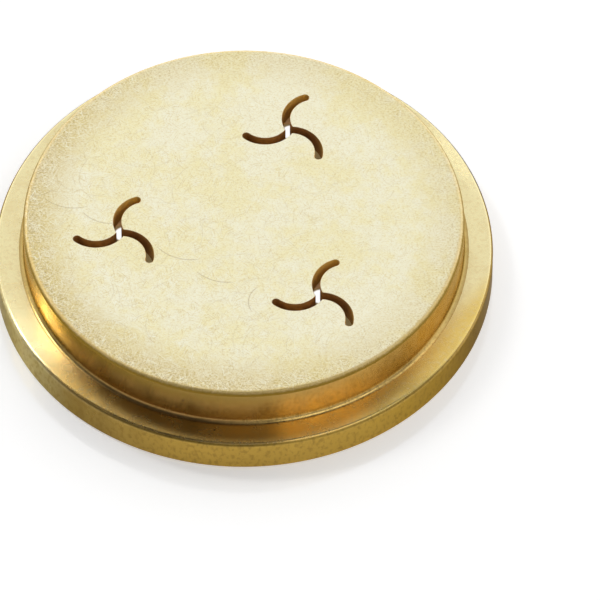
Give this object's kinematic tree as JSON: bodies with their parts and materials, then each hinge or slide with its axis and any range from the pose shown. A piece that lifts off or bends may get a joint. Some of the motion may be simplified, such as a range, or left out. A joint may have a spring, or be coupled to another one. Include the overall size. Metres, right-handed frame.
{
  "type": "pasta extrusion die",
  "caption": "Round brass pasta die with a clamping flange and a raised boss, pierced by curved three-armed slots that extrude twisted fusilli.",
  "frame": {"origin": "centre of the flat back face of the flange", "axes": "+Z along the turning axis, out of the front face; -Y towards the viewer of the picture"},
  "size_m": [0.06, 0.06, 0.0099],
  "materials": {
    "brass": "sanded matte front face, satin turned sides with light wear and patina"
  },
  "bodies": {
    "root": {"die_body": "brass"}
  },
  "joints": []
}
